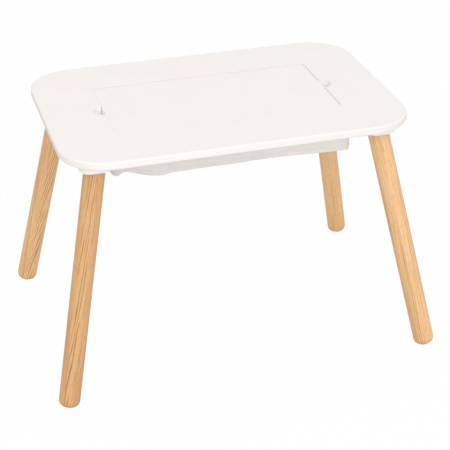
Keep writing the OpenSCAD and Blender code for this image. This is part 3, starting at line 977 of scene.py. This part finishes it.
def tapeLine(outwardBy, height):
    grow = outwardBy * 2
    line = loopPoints(tape["length"] + grow, tape["width"] + grow, tape["corner"] + outwardBy, tape["lapAt"])
    placed = []
    for number, (point, way) in enumerate(line):
        share = number / (len(line) - 1)
        waver = noise.noise(Vector((share * tape["wavesOut"], 2.5, 0))) * tape["waver"]
        place = point + way * waver
        place.z = height + noise.noise(Vector((share * tape["wavesUp"], 8.5, 0))) * tape["waver"]
        placed.append([place, way])
    return placed


def tapePath():
    line = tapeLine(0.0, tape["middle"])
    steps = round(tape["lap"] * 2 / tape["step"])
    for k in range(1, steps + 1):  # the end runs on over the start
        place, way = line[k][0].copy(), line[k][1]
        line.append([place + way * tape["band"]["Thickness"] * min(1, k / 2), way])
    return [line]


tapePiece = useTree("rimTape", sewnBand, tapePath(), tape["band"], wovenTape)
print("tape:", len(tapePiece.data.polygons), "faces")

sewing = {
    "row": {"Pitch": 0.0036, "Length": 0.0028, "Thread": 0.00032, "Seed": 5},
    "steps": 5,  # along a stitch
    "sides": 6,
    "sunk": 0.6,  # how deep its ends lie, in thicknesses of the thread
    "thinEnds": 0.45,  # thickness of the ends, as a share
    "sway": 0.09,  # radians, either way
    "tapeRows": (0.0054, -0.0054),  # from the middle of the tape
    "edgeRow": 0.0065,  # over the bag's lower edge
    "cornerSteps": 12,  # points down each row beside a corner
    "proud": 0.0001,
    "weltOut": 0.0002,  # outwards and down from the bag's lower edge
    "search": 0.02,  # from how far out the cloth's face is looked for
    "welt": {"Width": 0.0024, "Thickness": 0.0024, "Rounding": 0.00119, "Spacing": 0.003},
}


def makeStitchTree():
    tree, given, result = startTree("stitchRow", [
        ("Pitch", "NodeSocketFloat", 0.0036), ("Length", "NodeSocketFloat", 0.0027),
        ("Thread", "NodeSocketFloat", 0.0003), ("Seed", "NodeSocketInt", 1),
        ("Material", "NodeSocketMaterial", None)])
    path = addNode(tree, "GeometryNodeMeshToCurve", {"Mesh": given["Geometry"]})
    path = addNode(tree, "GeometryNodeResampleCurve", {"Curve": path, "Length": given["Pitch"]},
                   mode="LENGTH")
    half = addMath(tree, "MULTIPLY", given["Length"], 0.5)
    ends = [addNode(tree, "ShaderNodeCombineXYZ", {0: addMath(tree, "MULTIPLY", half, sign)})
            for sign in (-1.0, 1.0)]
    yarn = addNode(tree, "GeometryNodeCurvePrimitiveLine", {"Start": ends[0], "End": ends[1]})
    yarn = addNode(tree, "GeometryNodeResampleCurve", {"Curve": yarn, "Count": sewing["steps"]},
                     mode="COUNT")
    factor = addNode(tree, "GeometryNodeSplineParameter").outputs["Factor"]
    bow = addMath(tree, "SINE", addMath(tree, "MULTIPLY", factor, math.pi))  # up at the middle
    lift = addMath(tree, "MULTIPLY", addMath(tree, "SUBTRACT", bow, sewing["sunk"]), given["Thread"])
    lift = addNode(tree, "ShaderNodeCombineXYZ", {2: lift})
    yarn = addNode(tree, "GeometryNodeSetPosition", {"Geometry": yarn, "Offset": lift})
    thin = sewing["thinEnds"]
    taper = addMath(tree, "ADD", thin, addMath(tree, "MULTIPLY", bow, 1 - thin))
    taper = addMath(tree, "MULTIPLY", taper, given["Thread"])
    yarn = addNode(tree, "GeometryNodeSetCurveRadius", {"Curve": yarn, "Radius": taper})
    ring = addNode(tree, "GeometryNodeCurvePrimitiveCircle", {"Resolution": sewing["sides"], "Radius": 1.0})
    stitch = addNode(tree, "GeometryNodeCurveToMesh", {"Curve": yarn, "Profile Curve": ring,
                                                       "Fill Caps": True, "Scale": taper})
    outward = addNode(tree, "GeometryNodeInputNamedAttribute", {"Name": "outward"}, data_type="FLOAT_VECTOR")
    facing = addNode(tree, "FunctionNodeAlignRotationToVector", {"Vector": outward}, axis="Z")
    way = addNode(tree, "GeometryNodeInputTangent")
    facing = addNode(tree, "FunctionNodeAlignRotationToVector", {"Rotation": facing, "Vector": way},
                     axis="X", pivot_axis="Z")
    sway = sewing["sway"]
    sway = addNode(tree, "FunctionNodeRandomValue", {"Min": (0, 0, -sway), "Max": (0, 0, sway),
                                                     "Seed": given["Seed"]}, data_type="FLOAT_VECTOR")
    sway = addNode(tree, "FunctionNodeEulerToRotation", {"Euler": sway})
    turned = addNode(tree, "FunctionNodeRotateRotation", {"Rotation": facing, "Rotate By": sway},
                     rotation_space="LOCAL")
    row = addNode(tree, "GeometryNodeInstanceOnPoints", {"Points": path, "Instance": stitch,
                                                         "Rotation": turned})
    endTree(tree, row, given, result)
    return tree


def bagSurface():
    hung = bagPiece.evaluated_get(bpy.context.evaluated_depsgraph_get())
    return BVHTree.FromObject(hung, bpy.context.evaluated_depsgraph_get())


def onBag(surface, place, outward):
    reach = sewing["search"]
    spot, way = surface.ray_cast(place + outward * reach, -outward, 2 * reach)[:2]
    return (spot, way) if spot else (place, outward)


def bagSeamLines():
    surface = bagSurface()
    places = [[bagPiece.data.vertices[number].co for number in column] for column in bagSeams["columns"]]
    count = len(places)
    outwards = []
    for number in range(count):
        run = places[(number + 1) % count][0] - places[number - 1][0]
        outwards.append(Vector((run.y, -run.x, 0)).normalized())

    def atHeight(column, z):
        for low, high in zip(column[::-1], column[-2::-1]):
            if low.z <= z <= high.z:
                return low.lerp(high, (z - low.z) / max(1e-9, high.z - low.z))
        return column[0]

    rows = []
    edge = []
    for number in list(range(count)) + [0]:
        foot = places[number][-1]
        edge.append(onBag(surface, atHeight(places[number], foot.z + sewing["edgeRow"]), outwards[number]))
    rows.append(edge)
    for corner in bagSeams["corners"]:
        for beside in (-1, 1):
            number = (corner + beside) % count
            top, foot = places[number][bag["pinned"] - 1].z, places[number][-1].z + sewing["edgeRow"]
            steps = sewing["cornerSteps"]
            heights = [top + (foot - top) * k / steps for k in range(steps + 1)]
            rows.append([onBag(surface, atHeight(places[number], z), outwards[number]) for z in heights])
    rows = [[(place + way * sewing["proud"], way) for place, way in row] for row in rows]
    drop = Vector((0, 0, -sewing["weltOut"]))
    rim = [(column[-1] + way * sewing["weltOut"] + drop, way) for column, way in zip(places, outwards)]
    return rows, [rim + rim[:1]]


stitchRow = makeStitchTree()
bagRows, weltLine = bagSeamLines()
tapeRows = [[(place, way) for place, way in tapeLine(tape["band"]["Thickness"] / 2 + sewing["proud"],
                                                     tape["middle"] + rise)] for rise in sewing["tapeRows"]]
stitchPiece = useTree("stitches", stitchRow, bagRows + tapeRows, sewing["row"], sewingThread)
weltPiece = useTree("bagWelt", sewnBand, weltLine, sewing["welt"], canvas)
print("stitches:", len(stitchPiece.data.polygons), "faces, welt:", len(weltPiece.data.polygons), "faces")

for piece in (bagPiece, tapePiece, stitchPiece, weltPiece):
    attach(piece, "table")
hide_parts("storage_bag")
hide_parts("rim_tape")
